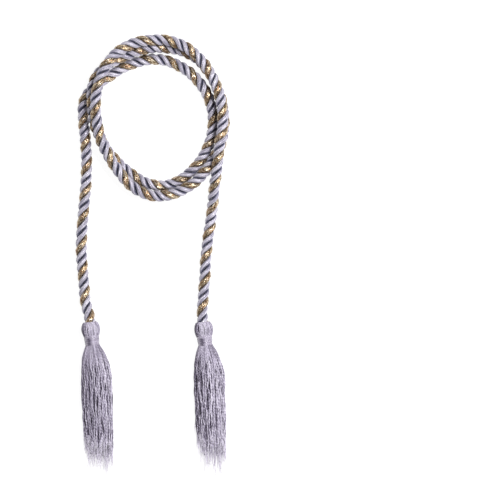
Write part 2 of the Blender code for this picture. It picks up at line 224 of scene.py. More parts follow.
def smooth_curve(points, step):
    """Evenly spaced points along the natural cubic spline through the given ones."""
    points = np.array(points)
    knots = np.concatenate([[0], np.cumsum(np.linalg.norm(np.diff(points, axis=0), axis=1))])
    spans = np.diff(knots)
    system, right_side = np.eye(len(points)), np.zeros_like(points)
    for i in range(1, len(points) - 1):
        before, after = spans[i - 1], spans[i]
        system[i, i - 1:i + 2] = before, 2 * (before + after), after
        right_side[i] = 6 * ((points[i + 1] - points[i]) / after - (points[i] - points[i - 1]) / before)
    bend = np.linalg.solve(system, right_side)

    places = np.linspace(0, knots[-1], int(knots[-1] / CURVE_STEP))
    i = np.clip(np.searchsorted(knots, places, side="right") - 1, 0, len(spans) - 1)
    b = ((places - knots[i]) / spans[i])[:, None]
    a = 1 - b
    curve = a * points[i] + b * points[i + 1]
    curve += ((a**3 - a) * bend[i] + (b**3 - b) * bend[i + 1]) * spans[i, None]**2 / 6
    return evenly_spaced(curve, step)


def evenly_spaced(curve, step):
    """The same curve with its points about one step apart."""
    lengths = np.concatenate([[0], np.cumsum(np.linalg.norm(np.diff(curve, axis=0), axis=1))])
    places = np.linspace(0, lengths[-1], round(lengths[-1] / step) + 1)
    return np.stack([np.interp(places, lengths, column) for column in curve.T], axis=1)


def tassel_direction():
    """The way that both tassels point, seen from above."""
    lean = math.radians(TASSEL_LEAN)
    return np.array([math.sin(lean), -math.cos(lean)])


def end_points(side):
    """The rope's end inside its head, and the point where the rope comes into line with the tassel."""
    top = np.array(HEAD_TOPS[side])
    return [tuple(top + tassel_direction() * d) for d in (SOCKET_DEPTH - GAP, -STRAIGHT_LENGTH)]


def route_plan(step):
    """The centre line seen from above, from the end in the left tassel to the end in the right one."""
    turns = []
    for angle, distance in TURNS:
        turns.append((TURNS_CENTRE[0] + distance * math.sin(math.radians(angle)),
                      TURNS_CENTRE[1] + distance * math.cos(math.radians(angle))))
    points = end_points("left") + LEFT_TAIL + turns + RIGHT_TAIL[::-1] + end_points("right")[::-1]
    return smooth_curve(points, step)


def lay_down(plan, step):
    """Heights of the centre line: each pass lies on the surface or arches over the earlier ones."""
    order = np.arange(len(plan)) * step
    reach = ROPE_DIAMETER + GAP
    apart = np.linalg.norm(plan[:, None] - plan[None], axis=2)
    later = order[:, None] - order[None]
    over = (later > PASS_LENGTH) & (apart < reach)
    rise = np.sqrt(np.maximum(reach**2 - apart**2, 0)) + SETTLE_LENGTH**2 / (2 * BEND_RADIUS)

    arch = later**2 / (2 * BEND_RADIUS)
    blur = np.exp(-0.5 * (later / SETTLE_LENGTH)**2)
    blur /= blur.sum(axis=1, keepdims=True)

    in_line = SOCKET_DEPTH + STRAIGHT_LENGTH
    at_ends = (order < in_line) | (order > order[-1] - in_line)
    heights = np.full(len(plan), ROPE_RADIUS)
    for _ in range(SETTLE_ROUNDS):
        needed = np.where(over, heights[None] + rise, ROPE_RADIUS).max(axis=1)
        needed[at_ends] = AXIS_HEIGHT
        arched = (needed[None] - arch).max(axis=1)
        heights = blur @ np.maximum(arched, ROPE_RADIUS)
    return heights


def rope_route(step):
    """Points of the rope's centre line, about one step apart."""
    fine_step = LAY_PITCH / ROUTE_STEPS_PER_PITCH
    plan = route_plan(fine_step)
    return evenly_spaced(np.column_stack([plan, lay_down(plan, fine_step)]), step)


# ---- meshes ----

def unit(vectors):
    return vectors / np.linalg.norm(vectors, axis=-1, keepdims=True)


def build_mesh(name, points, faces, attributes, material):
    """A smooth-shaded object from arrays of points and faces, with its points' values for the material."""
    mesh = bpy.data.meshes.new(name)
    mesh.from_pydata(points.reshape(-1, 3).tolist(), [], faces)
    for key, values in attributes.items():
        values = np.asarray(values, dtype=np.float32)
        kind, field = ("FLOAT_VECTOR", "vector") if values.ndim == 2 else ("FLOAT", "value")
        layer = mesh.attributes.new(key, kind, "POINT")
        layer.data.foreach_set(field, values.ravel())
    mesh.materials.append(material)
    mesh.shade_smooth()
    item = bpy.data.objects.new(name, mesh)
    bpy.context.scene.collection.objects.link(item)
    return item


def ring_faces(rings, count):
    """Quads between rings of the same number of points, as an array of point numbers."""
    ring, point = np.meshgrid(np.arange(rings - 1), np.arange(count), indexing="ij")
    following = (point + 1) % count
    quads = np.stack([ring * count + point, ring * count + following,
                      (ring + 1) * count + following, (ring + 1) * count + point], axis=-1)
    return quads.reshape(-1, 4)


def capped_tube_faces(rings, count):
    """The quads of one tube and the two faces that close it."""
    last = (rings - 1) * count
    caps = [list(range(count))[::-1], list(range(last, last + count))]
    return ring_faces(rings, count).tolist() + caps


def bundle_points(paths, side_hints, radii, sides):
    """Points of many thin tubes: threads x steps x sides x 3."""
    along = unit(np.gradient(paths, axis=1))
    across = unit(side_hints - (side_hints * along).sum(axis=-1, keepdims=True) * along)
    upward = np.cross(across, along)
    angles = 2 * np.pi * np.arange(sides) / sides
    ring = np.cos(angles)[:, None] * upward[:, :, None] + np.sin(angles)[:, None] * across[:, :, None]
    return paths[:, :, None] + radii[:, :, None, None] * ring


def bundle_faces(threads, steps, sides):
    """The faces of as many closed tubes, in the order of bundle_points."""
    one = capped_tube_faces(steps, sides)
    quads, caps = np.array(one[:-2]), np.array(one[-2:])
    starts = np.arange(threads)[:, None, None] * steps * sides
    return (quads[None] + starts).reshape(-1, 4).tolist() + (caps[None] + starts).reshape(-1, sides).tolist()


# ---- materials ----

class Shader:
    """A short way to write a node material. Most methods add a node and return its output."""

    def __init__(self, name, roughness, metallic=0.0, specular=0.5, sheen=0.0, anisotropy=0.0):
        self.material = bpy.data.materials.new(name)
        self.material.use_nodes = True
        self.tree = self.material.node_tree
        self.surface = self.tree.nodes["Principled BSDF"]
        self.surface.inputs["Roughness"].default_value = roughness
        self.surface.inputs["Metallic"].default_value = metallic
        self.surface.inputs["Specular IOR Level"].default_value = specular
        self.surface.inputs["Sheen Weight"].default_value = sheen
        self.surface.inputs["Anisotropic"].default_value = anisotropy

    def fill(self, socket, value):
        """Gives a socket a plain value, or links another node's output to it."""
        if isinstance(value, bpy.types.NodeSocket):
            self.tree.links.new(value, socket)
        else:
            socket.default_value = value

    def add(self, kind, output=0, settings=None, **inputs):
        """One node of this kind. Its inputs go by name, or by number as i0, i1 and so on."""
        node = self.tree.nodes.new(kind)
        for key, value in (settings or {}).items():
            setattr(node, key, value)
        for key, value in inputs.items():
            by_number = key.startswith("i") and key[1:].isdigit()
            self.fill(node.inputs[int(key[1:]) if by_number else key], value)
        return node.outputs[output]

    def value(self, name):
        return self.add("ShaderNodeAttribute", "Fac", {"attribute_name": name})

    def vector(self, name):
        return self.add("ShaderNodeAttribute", "Vector", {"attribute_name": name})

    def component(self, vector, index):
        return self.add("ShaderNodeSeparateXYZ", index, None, Vector=vector)

    def scaled(self, vector, scale):
        return self.add("ShaderNodeVectorMath", 0, {"operation": "MULTIPLY"}, i0=vector, i1=scale)

    def noise(self, vector, scale, detail):
        return self.add("ShaderNodeTexNoise", "Fac", None, Vector=vector, Scale=scale, Detail=detail)

    def math(self, operation, first, second=0.0):
        return self.add("ShaderNodeMath", 0, {"operation": operation}, i0=first, i1=second)

    def ramp(self, factor, stops):
        """Colours at places along the factor."""
        node = self.tree.nodes.new("ShaderNodeValToRGB")
        elements = node.color_ramp.elements
        while len(elements) < len(stops):
            elements.new(0.5)
        for element, (place, colour) in zip(elements, stops):
            element.position = place
            element.color = colour
        self.fill(node.inputs[0], factor)
        return node.outputs[0]

    def amounts(self, factor, stops):
        return self.ramp(factor, [(place, (amount, amount, amount, 1)) for place, amount in stops])

    def mix(self, factor, first, second):
        node = self.tree.nodes.new("ShaderNodeMix")
        node.data_type = "RGBA"
        for number, value in ((0, factor), (6, first), (7, second)):
            self.fill(node.inputs[number], value)
        return node.outputs[2]

    def bump(self, height, distance, strength):
        return self.add("ShaderNodeBump", 0, None, Height=height, Distance=distance, Strength=strength)

    def contact_shade(self, colour, dark):
        """Painted shade: the colour, going towards the dark one where another turn of the rope lies close."""
        amount = self.amounts(self.value("contact_shade"), [(0.18, 0.0), (0.66, 0.66), (1.0, 0.86)])
        return self.mix(amount, colour, dark)

    def finish(self, colour, normal, tangent=None):
        self.fill(self.surface.inputs["Base Color"], colour)
        self.fill(self.surface.inputs["Normal"], normal)
        if tangent is not None:
            self.fill(self.surface.inputs["Tangent"], tangent)
        return self.material


def silver_material():
    """Satin yarn: pale streaks along its fibres, a little painted shade on its crown, and painted shade down
    its flanks, deepest in the groove between the two silver plies.
    """
    shader = Shader("silver_satin_yarn", 0.36, metallic=0.20, specular=0.6, sheen=0.3, anisotropy=0.7)
    fibre = shader.vector("fibre")
    streaks = shader.noise(shader.scaled(fibre, (1, 1, 0.08)), 2.2, 3.0)
    fine = shader.noise(shader.scaled(fibre, (1, 1, 0.25)), 14.0, 2.0)
    body = shader.ramp(streaks, [(0.38, srgb(112, 106, 132)), (0.48, srgb(174, 168, 190)),
                                 (0.58, srgb(240, 236, 248))])
    speckles = shader.ramp(fine, [(0.38, srgb(96, 90, 114)), (0.60, srgb(240, 236, 248))])
    # Painted shade: a little on the crown, none just beside it, then deepening down the flanks to navy in the
    # groove.
    shade = shader.amounts(shader.value("off_crown"),
                           [(0.0, 0.14), (0.30, 0.04), (0.46, 0.0), (0.72, 0.45), (0.98, 1.0)])
    shaded = shader.mix(shade, shader.mix(0.4, body, speckles), srgb(68, 69, 98))
    colour = shader.contact_shade(shaded, srgb(48, 39, 56))
    height = shader.math("ADD", fine, streaks)
    return shader.finish(colour, shader.bump(height, 0.0002, 0.8), tangent=shader.vector("along"))


def gold_material():
    """Lurex yarn: glittering grains, some of them warmer, near-white sparks painted in as glints, and painted
    shade on its flanks.
    """
    shader = Shader("gold_lurex_yarn", 0.30, metallic=0.75, specular=0.8)
    fibre = shader.vector("fibre")
    grains = shader.noise(shader.scaled(fibre, (1, 1, 0.42)), 3.0, 3.0)
    # Painted glints: where this noise is high, near-white specks are mixed into the colour.
    glints = shader.noise(shader.scaled(fibre, (1, 1, 0.65)), 5.0, 2.0)
    hue = shader.noise(shader.scaled(fibre, (1, 1, 0.25)), 2.2, 1.0)
    # The lurex's own dark and pale grains; the palest of them are partly painted highlight.
    body = shader.ramp(grains, [(0.36, srgb(66, 48, 32)), (0.45, srgb(132, 105, 73)),
                                (0.52, srgb(182, 156, 118)), (0.60, srgb(218, 201, 171)),
                                (0.70, srgb(246, 237, 220))])
    warm = shader.mix(shader.amounts(hue, [(0.5, 0.0), (0.68, 0.45)]), body, srgb(186, 126, 92))
    lit = shader.mix(shader.amounts(glints, [(0.60, 0.0), (0.67, 0.9)]), warm, srgb(255, 251, 242))
    # Painted shade: the flanks darken towards dark brown.
    shade = shader.amounts(shader.value("off_crown"), [(0.0, 0.0), (0.42, 0.08), (0.68, 0.56), (0.94, 1.0)])
    colour = shader.contact_shade(shader.mix(shade, lit, srgb(34, 24, 17)), srgb(44, 30, 26))
    height = shader.math("ADD", grains, glints)
    return shader.finish(colour, shader.bump(height, 0.0004, 1.0))


def thread_material(name, roughness, specular, anisotropy, dark, middle, light, pale):
    """Thread of two strands twisted together. Its tone attribute sets how light it is, and its looseness
    how much its strands and its unevenness show."""
    shader = Shader(name, roughness, specular=specular, sheen=0.25, anisotropy=anisotropy)
    fibre = shader.vector("fibre")
    angle = shader.math("ARCTAN2", shader.component(fibre, 1), shader.component(fibre, 0))
    turn = shader.math("ADD", angle, shader.math("MULTIPLY", shader.component(fibre, 2), YARN_TWIST))
    strands = shader.math("MULTIPLY", shader.math("ABSOLUTE", shader.math("SINE", turn)), 0.55)
    slow = shader.noise(shader.scaled(fibre, (0.6, 0.6, 0.12)), 1.0, 2.0)
    quick = shader.noise(shader.scaled(fibre, (1.3, 1.3, 0.30)), 1.0, 2.0)
    uneven = shader.math("MULTIPLY", shader.math("SUBTRACT", quick, 0.5), 1.7)
    for value, middle_value in ((strands, 0.35), (slow, 0.5)):
        uneven = shader.math("ADD", uneven, shader.math("SUBTRACT", value, middle_value))
    uneven = shader.math("MULTIPLY", uneven, shader.value("looseness"))
    tone = shader.math("ADD", shader.value("tone"), uneven)
    colour = shader.ramp(tone, [(0.0, dark), (0.45, middle), (0.9, light), (1.0, pale)])
    height = shader.math("ADD", strands, quick)
    tangent = shader.vector("along") if anisotropy else None
    return shader.finish(colour, shader.bump(height, 0.0001, 0.8), tangent=tangent)


# ---- the rope's plies ----

def contact_shade_amounts(points, route):
    """Painted contact shade for each point of each ring of a ply: 1 where another turn of the rope touches
    it, 0 away from it.
    """
    order = np.arange(len(route)) * ROPE_LENGTH / len(route)
    contact_shade = np.zeros(points.shape[:2])
    for ring, around in enumerate(points):
        near = np.linalg.norm(route - route[ring], axis=1) < 2 * ROPE_DIAMETER
        others = route[near & (np.abs(order - order[ring]) > PASS_LENGTH)]
        if len(others):
            nearest = np.linalg.norm(around[:, None] - others[None], axis=2).min(axis=1)
            contact_shade[ring] = np.clip(1 - (nearest - ROPE_RADIUS) / CONTACT_SHADE_REACH, 0, 1)
    return contact_shade


def make_ply(name, route, yarns, seed, material):
    """One ply of the rope: yarns with a groove between each, wound round their ply the other way."""
    chance = np.random.default_rng(seed)
    distances, turns = zip(*LAY)
    step = np.linalg.norm(np.diff(route, axis=0), axis=1).mean()
    places = np.arange(len(route)) * step
    along = unit(np.gradient(route, axis=0))
    to_left = unit(np.cross((0, 0, 1), along))
    upward = np.cross(along, to_left)
    twist = 2 * np.pi * (np.interp(places, distances, turns) + PLY_PLACES[name])[:, None]
    outward = np.cos(twist) * upward - np.sin(twist) * to_left

    centres = route + yarns["helix"] * outward
    ply_along = unit(np.gradient(centres, axis=0))
    sideways = unit(np.cross(ply_along, outward))
    outward = np.cross(sideways, ply_along)

    count = yarns["count"] * POINTS_PER_YARN
    own_angle = 2 * np.pi * np.arange(count) / count
    ply_places = np.concatenate([[0], np.cumsum(np.linalg.norm(np.diff(centres, axis=0), axis=1))])
    angle = own_angle[None] - 2 * np.pi * ply_places[:, None] / yarns["pitch"]
    crown = np.abs(np.sin(np.pi * np.arange(count) / POINTS_PER_YARN))
    knots = yarns["knots"] * chance.uniform(-KNOT_SPREAD, KNOT_SPREAD, (len(route), yarns["count"]))
    knots = np.repeat(knots, POINTS_PER_YARN, axis=1) * crown
    radius = yarns["radius"] - yarns["groove"] * (1 - crown) + knots
    ring = np.cos(angle)[..., None] * outward[:, None] + np.sin(angle)[..., None] * sideways[:, None]
    points = centres[:, None] + radius[..., None] * ring

    # Angle off the crown, for the materials' painted shade on the flanks; on silver it comes sooner towards
    # the other silver ply.
    off_crown = np.degrees(np.abs((angle + np.pi) % (2 * np.pi) - np.pi))
    off_crown *= 1 + FLANK_SHADE_SHIFT * FLANK_SIDES[name] * np.sin(angle)
    fibre = np.stack([np.broadcast_to(np.cos(own_angle), angle.shape),
                      np.broadcast_to(np.sin(own_angle), angle.shape),
                      np.broadcast_to(ply_places[:, None] / yarns["radius"], angle.shape)], axis=-1)
    lengthways = unit(np.gradient(points, axis=0))
    attributes = {"fibre": fibre.reshape(-1, 3), "off_crown": off_crown.ravel() / FLANK_SHADE_ANGLE,
                  "contact_shade": contact_shade_amounts(points, route).ravel(), "along": lengthways.reshape(-1, 3)}
    return build_mesh(name, points, capped_tube_faces(len(route), count), attributes, material)


def make_rope():
    """The three plies."""
    route = rope_route(LAY_PITCH / RINGS_PER_PITCH)
    silver, gold = silver_material(), gold_material()
    gold_ply = make_ply("gold_ply", route, GOLD_YARNS, 1, gold)
    second_silver_ply = make_ply("second_silver_ply", route, SILVER_YARNS, 3, silver)
    first_silver_ply = make_ply("first_silver_ply", route, SILVER_YARNS, 2, silver)
    for ply, slot in ((gold_ply, "gold_ply"), (first_silver_ply, "silver_ply"),
                      (second_silver_ply, "silver_ply")):
        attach(ply, "root")
    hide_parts("rope")


# ---- the tassels ----

def smooth_step(value):
    """From 0 at 0 to 1 at 1, with no corners."""
    value = np.clip(value, 0, 1)
    return value * value * (3 - 2 * value)


def place_on_tassel(points, side):
    """Points made along -Y below the head's top, turned and moved to their tassel."""
    lean = math.radians(TASSEL_LEAN)
    x, y = HEAD_TOPS[side]
    moved = points.copy()
    moved[..., 0] = x + points[..., 0] * math.cos(lean) - points[..., 1] * math.sin(lean)
    moved[..., 1] = y + points[..., 0] * math.sin(lean) + points[..., 1] * math.cos(lean)
    return moved


def round_points(distances, radii, angles):
    """Points round the tassel's axis: distance below the head's top, radius and angle."""
    return np.stack([radii * np.cos(angles), -distances, AXIS_HEIGHT + radii * np.sin(angles)], axis=-1)


def thread_coordinates(chance, distances, sides):
    """For the material: the way out from a thread's middle, and millimetres along it from a random place."""
    angles = 2 * np.pi * np.arange(sides) / sides
    places = 1000 * (distances + chance.uniform(0, 0.1, (len(distances), 1)))
    shape = (*places.shape, sides)
    return np.stack([np.broadcast_to(np.cos(angles), shape), np.broadcast_to(np.sin(angles), shape),
                     np.broadcast_to(places[..., None], shape)], axis=-1)


def thread_tone(tone, distances, sides, flank_shade):
    """A thread's tone, with painted shade, as deep as the flank value, on the side that faces into the
    bundle.
    """
    angles = 360 * np.arange(sides) / sides
    off_crown = np.minimum(angles, 360 - angles)
    shade = np.clip((off_crown - 40) / 70, 0, 1)
    return tone[:, None, None] - flank_shade * np.broadcast_to(shade, (*distances.shape, sides))


def build_threads(name, side, points, faces, values, material):
    """A piece of the tassel, with its values for the thread material: fibre, tone and looseness."""
    return build_mesh(f"{side}_{name}", place_on_tassel(points, side), faces, values, material)


def make_head(side, seed, material):
    """Threads folded over the head, side by side from the rope down to the band."""
    chance = np.random.default_rng(seed)
    profile = smooth_curve(HEAD_PROFILE, PROFILE_STEP)
    along = np.linspace(0, 1, HEAD_THREAD_STEPS)
    spots = np.linspace(0, 1, len(profile))
    distances = np.interp(along, spots, profile[:, 0])
    radii = np.interp(along, spots, profile[:, 1])

    start = 2 * np.pi * (np.arange(HEAD_THREADS) + chance.uniform(-0.5, 0.5, HEAD_THREADS)) / HEAD_THREADS
    away = start - math.radians(HEAD_PARTING_ANGLE)
    push = HEAD_PARTING_PUSH * np.sign(away) * np.exp(-np.abs(away) / HEAD_PARTING_REACH)
    slant = chance.normal(0, 0.06, HEAD_THREADS)
    wave = chance.uniform(0, 2 * np.pi, HEAD_THREADS)
    opened = smooth_step(5 * along - 1.2) * smooth_step(4 - 5 * along)
    angles = start[:, None] + slant[:, None] * along + 0.02 * np.sin(7 * along + wave[:, None])
    angles += push[:, None] * opened
    lift = chance.normal(0, HEAD_THREAD_LIFT, HEAD_THREADS)[:, None]
    lift = lift + 0.00012 * np.sin(9 * along + 2 * wave[:, None])
    paths = round_points(np.broadcast_to(distances, angles.shape), radii + lift - HEAD_THREAD_RADIUS, angles)
    paths[..., 2] = np.maximum(paths[..., 2], HEAD_THREAD_RADIUS)
    hints = np.stack([-np.sin(angles), np.zeros_like(angles), np.cos(angles)], axis=-1)
    thickness = HEAD_THREAD_RADIUS * chance.uniform(0.8, 1.25, (HEAD_THREADS, 1)) * np.ones_like(angles)
    threads = bundle_points(paths, hints, thickness, HEAD_THREAD_SIDES)

    lengths = np.linspace(0, HEAD_THREAD_LENGTH, HEAD_THREAD_STEPS) * np.ones((HEAD_THREADS, 1))
    # Painted shade: threads darker towards the head's sides, and more so on its left.
    tone = chance.normal(0.76, 0.13, HEAD_THREADS) - 0.26 * np.cos(start)**2
    tone -= 0.20 * smooth_step(-2 * np.cos(start) - 0.6)
    tone = thread_tone(tone, lengths, HEAD_THREAD_SIDES, 0.35)
    fibre = thread_coordinates(chance, lengths, HEAD_THREAD_SIDES)
    values = {"fibre": fibre.reshape(-1, 3), "tone": tone.ravel(),
              "looseness": np.full(tone.size, HEAD_LOOSENESS)}
    faces = bundle_faces(HEAD_THREADS, HEAD_THREAD_STEPS, HEAD_THREAD_SIDES)
    return build_threads("head", side, threads, faces, values, material)


def make_shade_core(side, material):
    """Painted shade: a dark inside of the head, neck and skirt, which stands for the shade that shows between
    the threads.
    """
    angles = 2 * np.pi * np.arange(CORE_SIDES) / CORE_SIDES
    rings = []
    for distance, radius in smooth_curve(HEAD_PROFILE, 2 * PROFILE_STEP):
        level, radii = np.full(CORE_SIDES, distance), np.full(CORE_SIDES, radius - CORE_INSET)
        rings.append(round_points(level, radii, angles))
    for distance in np.arange(CORE_START, CORE_END, CORE_STEP):
        level = np.full(CORE_SIDES, distance)
        shrink = CORE_SHARE * min(1.0, (CORE_TIP - distance) / CORE_TAPER)
        rings.append(skirt_points(level, shrink * np.cos(angles), shrink * np.sin(angles)))
    points = np.stack(rings)
    count = len(rings) * CORE_SIDES
    values = {"fibre": np.zeros((count, 3)), "tone": np.full(count, CORE_SHADE_TONE), "looseness": np.ones(count)}
    return build_threads("shade_core", side, points, capped_tube_faces(len(rings), CORE_SIDES), values, material)


def make_band(side, seed, material):
    """Shiny thread wound round the neck in one helix."""
    chance = np.random.default_rng(seed)
    steps = BAND_TURNS * BAND_SEGMENTS
    share = np.linspace(0, 1, steps)
    angles = 2 * np.pi * BAND_TURNS * share
    turns = np.repeat(chance.normal(0, 1, (2, BAND_TURNS + 1)), BAND_SEGMENTS, axis=1)[:, :steps]
    bulge = 0.00015 * np.sin(np.pi * share) + 0.00002 * turns[0]
    distances = BAND_START + (BAND_END - BAND_START) * share + 0.00003 * turns[1]
    radii = BAND_TOP_RADIUS + (BAND_END_RADIUS - BAND_TOP_RADIUS) * share + bulge
    path = round_points(distances, radii, angles)[None]
    hints = np.broadcast_to((0.0, 1.0, 0.0), path.shape)
    thread = bundle_points(path, hints, np.full((1, steps), BAND_THREAD_RADIUS), BAND_THREAD_SIDES)

    # Painted shade: a dark patch at one angle on the band's lower part, and darker towards its sides.
    off_patch_shade = (np.degrees(angles) % 360 - BAND_SHADE_ANGLE) / BAND_SHADE_SPREAD
    patch_shade = np.exp(-0.5 * off_patch_shade**2) * smooth_step(4 * share - 0.6)
    tone = 0.56 + 0.07 * turns[1] - 0.52 * patch_shade - 0.22 * np.cos(angles)**2
    tone = np.broadcast_to(tone[None, :, None], thread.shape[:3])
    fibre = thread_coordinates(chance, BAND_TURN_LENGTH * BAND_TURNS * share[None], BAND_THREAD_SIDES)
    values = {"fibre": fibre.reshape(-1, 3), "tone": tone.ravel(),
              "looseness": np.full(tone.size, BAND_LOOSENESS),
              "along": np.broadcast_to((*tassel_direction(), 0.0), (tone.size, 3))}
    faces = bundle_faces(1, steps, BAND_THREAD_SIDES)
    return build_threads("band", side, thread, faces, values, material)


# ---- the skirts ----

def skirt_rows():
    """SKIRT at even distances, with its corners rounded off."""
    rows = np.array(SKIRT)
    fine = np.arange(rows[0, 0], rows[-1, 0] + 0.02, SKIRT_STEP)
    columns = [np.interp(fine, rows[:, 0], column) for column in rows.T[1:]]
    reach = SKIRT_ROUNDING_REACH
    kernel = np.exp(-0.5 * (np.arange(-reach, reach + 1) / SKIRT_ROUNDING)**2)
    kernel /= kernel.sum()
    smooth = [np.convolve(np.pad(column, reach, mode="edge"), kernel, mode="valid") for column in columns]
    return fine, smooth


SKIRT_FINE, SKIRT_SMOOTH = skirt_rows()


def skirt_points(distances, across, upward):
    """Points of the skirt's section: across and upward are shares of its half width and half height."""
    offset, half_width, underside, top = (np.interp(distances, SKIRT_FINE, column) for column in SKIRT_SMOOTH)
    height = (underside + top) / 2 + (top - underside) / 2 * upward
    return np.stack([offset + half_width * across, -distances, height], axis=-1)


def section_reach(angles):
    """How far the section's edge is from its middle: round above, with square shoulders on the floor."""
    power = np.where(np.sin(angles) < 0, FLOOR_POWER, TOP_POWER)
    return (np.abs(np.cos(angles))**power + np.abs(np.sin(angles))**power)**(-1 / power)


def skirt_surface(distances, angles, depth):
    """Points at these angles and this share of the way out to the skirt's surface."""
    reach = section_reach(angles) * depth
    return skirt_points(distances, reach * np.cos(angles), reach * np.sin(angles))


def outline_lengths():
    """Angles round the skirt's section halfway down, and how far round its edge each one is."""
    angles = np.linspace(0, 2 * np.pi, OUTLINE_POINTS)
    outline = skirt_surface(np.full(OUTLINE_POINTS, OUTLINE_DISTANCE), angles, 1)
    return angles, np.concatenate([[0], np.cumsum(np.linalg.norm(np.diff(outline, axis=0), axis=1))])


def parting_push(places, distances):
    """How far yarns at these places round the section are moved aside by the partings between locks."""
    angles, lengths = outline_lengths()
    upper = angles <= np.pi
    shares = section_reach(angles[upper]) * np.cos(angles[upper])
    push = np.zeros(distances.shape)
    for across, start, end, width in SKIRT_PARTINGS:
        away = (places - np.interp(-across, -shares, lengths[upper]))[:, None]
        opened = smooth_step((distances - start) / PARTING_TAPER)
        opened = opened * smooth_step((end - distances) / PARTING_TAPER)
        push += 0.5 * width * np.sign(away) * np.exp(-np.abs(away) / PARTING_REACH) * opened
    return push


def waves(distances, phases, rows):
    """The sum of waves of these heights and lengths, each starting at its own phase."""
    return sum(height * np.sin(2 * np.pi * distances / length + phase)
               for phase, (height, length) in zip(phases, rows))


class Yarns:
    """Where the yarns of one skirt lie: round its section, in its layers, in locks and in waves."""

    def __init__(self, chance):
        around, lengths = outline_lengths()
        girth = lengths[-1]
        columns = [[], [], [], []]
        for count, share, tone, radius in SKIRT_LAYERS:
            layer = ((np.arange(count) + chance.uniform(-0.3, 0.3, count)) / count * girth,
                     np.full(count, share) + chance.uniform(-0.03, 0.03, count),
                     np.full(count, tone),
                     radius * chance.uniform(0.8, 1.2, count))
            for column, values in zip(columns, layer):
                column.append(values)
        self.places, self.depth, self.tone, self.radius = (np.concatenate(column) for column in columns)
        self.angles = np.interp(self.places % girth, lengths, around)
        self.count = len(self.places)
        self.own_tone = chance.normal(0, 0.15, self.count)

        lock_places = (np.arange(LOCKS) + chance.uniform(-0.3, 0.3, LOCKS)) / LOCKS * girth
        to_locks = (lock_places[None] - self.places[:, None] + girth / 2) % girth - girth / 2
        lock = np.abs(to_locks).argmin(axis=1)
        self.to_lock = to_locks[np.arange(self.count), lock]
        self.lock_start = chance.uniform(0.028, 0.055, LOCKS)[lock]
        self.lock_pull = chance.uniform(0.20, 0.65, LOCKS)[lock] * smooth_step((self.depth - 0.6) / 0.4)
        self.phases = chance.uniform(0, 2 * np.pi, (4, self.count))
        self.swing = chance.uniform(0.4, 1.3, (2, self.count))

        self.across = section_reach(self.angles) * self.depth * np.cos(self.angles)
        ends = np.interp(self.across, *zip(*SKIRT_ENDS)) + chance.normal(0, YARN_SCATTER, self.count)
        self.ends = np.minimum(ends, LONGEST_YARN)

    def laid(self, pick, distances):
        """Paths of the picked yarns, and the directions to their side and outward."""
        here = self.angles[pick][:, None]
        paths = skirt_surface(distances, here, self.depth[pick][:, None])
        beside = unit(skirt_surface(distances, here + 0.02, 1) - skirt_surface(distances, here - 0.02, 1))
        outward = np.stack([beside[..., 2], np.zeros(distances.shape), -beside[..., 0]], axis=-1)
        phases = self.phases[:, pick, None]
        grow = smooth_step((distances - 0.022) / 0.020)
        gathered = smooth_step((distances - self.lock_start[pick][:, None]) / 0.020)
        pulled = self.to_lock[pick][:, None] * self.lock_pull[pick][:, None] * gathered
        on_top = smooth_step((self.depth[pick] - 0.85) / 0.08)[:, None]
        pushed = parting_push(self.places[pick], distances) * on_top
        rows = [(height * swing[:, None], length)
                for swing, (height, length) in zip(self.swing[:, pick], SIDE_WAVES)]
        sideways = pulled + pushed + grow * waves(distances, phases[:2], rows)
        lift = grow * waves(distances, phases[2:], LIFT_WAVES)
        return paths + sideways[..., None] * beside + lift[..., None] * outward, beside, outward


def twisted_yarns(yarns, chance):
    """The yarns themselves: points, values of fibre and values of tone."""
    # Painted shade on the skirt's sides: left and right grow as a yarn lies further to either side.
    left = smooth_step(-2 * yarns.across - 0.45)[:, None]
    right = smooth_step(3 * yarns.across - 0.60)[:, None]
    share = np.linspace(0, 1, YARN_STEPS)
    distances = SKIRT_START + (yarns.ends[:, None] - SKIRT_START) * share
    paths, beside, _ = yarns.laid(np.arange(yarns.count), distances)
    swell = (0.55 + 0.45 * smooth_step(share / 0.12)) * (1 - 0.70 * smooth_step((share - 0.93) / 0.07))
    thickness = yarns.radius[:, None] * swell
    paths[..., 2] = np.maximum(paths[..., 2], thickness + FLOOR_CLEARANCE)
    points = bundle_points(paths, beside, thickness, YARN_SIDES)

    # Painted shade: further down, the left side is darker and its tones vary more; near the top all yarns are
    # darker, the right side most.
    loosened = smooth_step((distances - 0.026) / 0.014)
    change = yarns.own_tone[:, None] * (0.6 + (0.35 + 0.35 * left) * loosened)
    change -= 0.25 * left * loosened + (0.05 + 0.24 * right) * (1 - loosened)
    tone = thread_tone(yarns.tone, distances, YARN_SIDES, YARN_FLANK_SHADE) + change[..., None]
    # Towards each yarn's end its tone rises to 0.78, which lifts the painted shade of the deeper layers.
    tone = tone + (0.78 - yarns.tone)[:, None, None] * smooth_step((share - 0.86) / 0.14)[None, :, None]
    return points, thread_coordinates(chance, distances, YARN_SIDES), tone


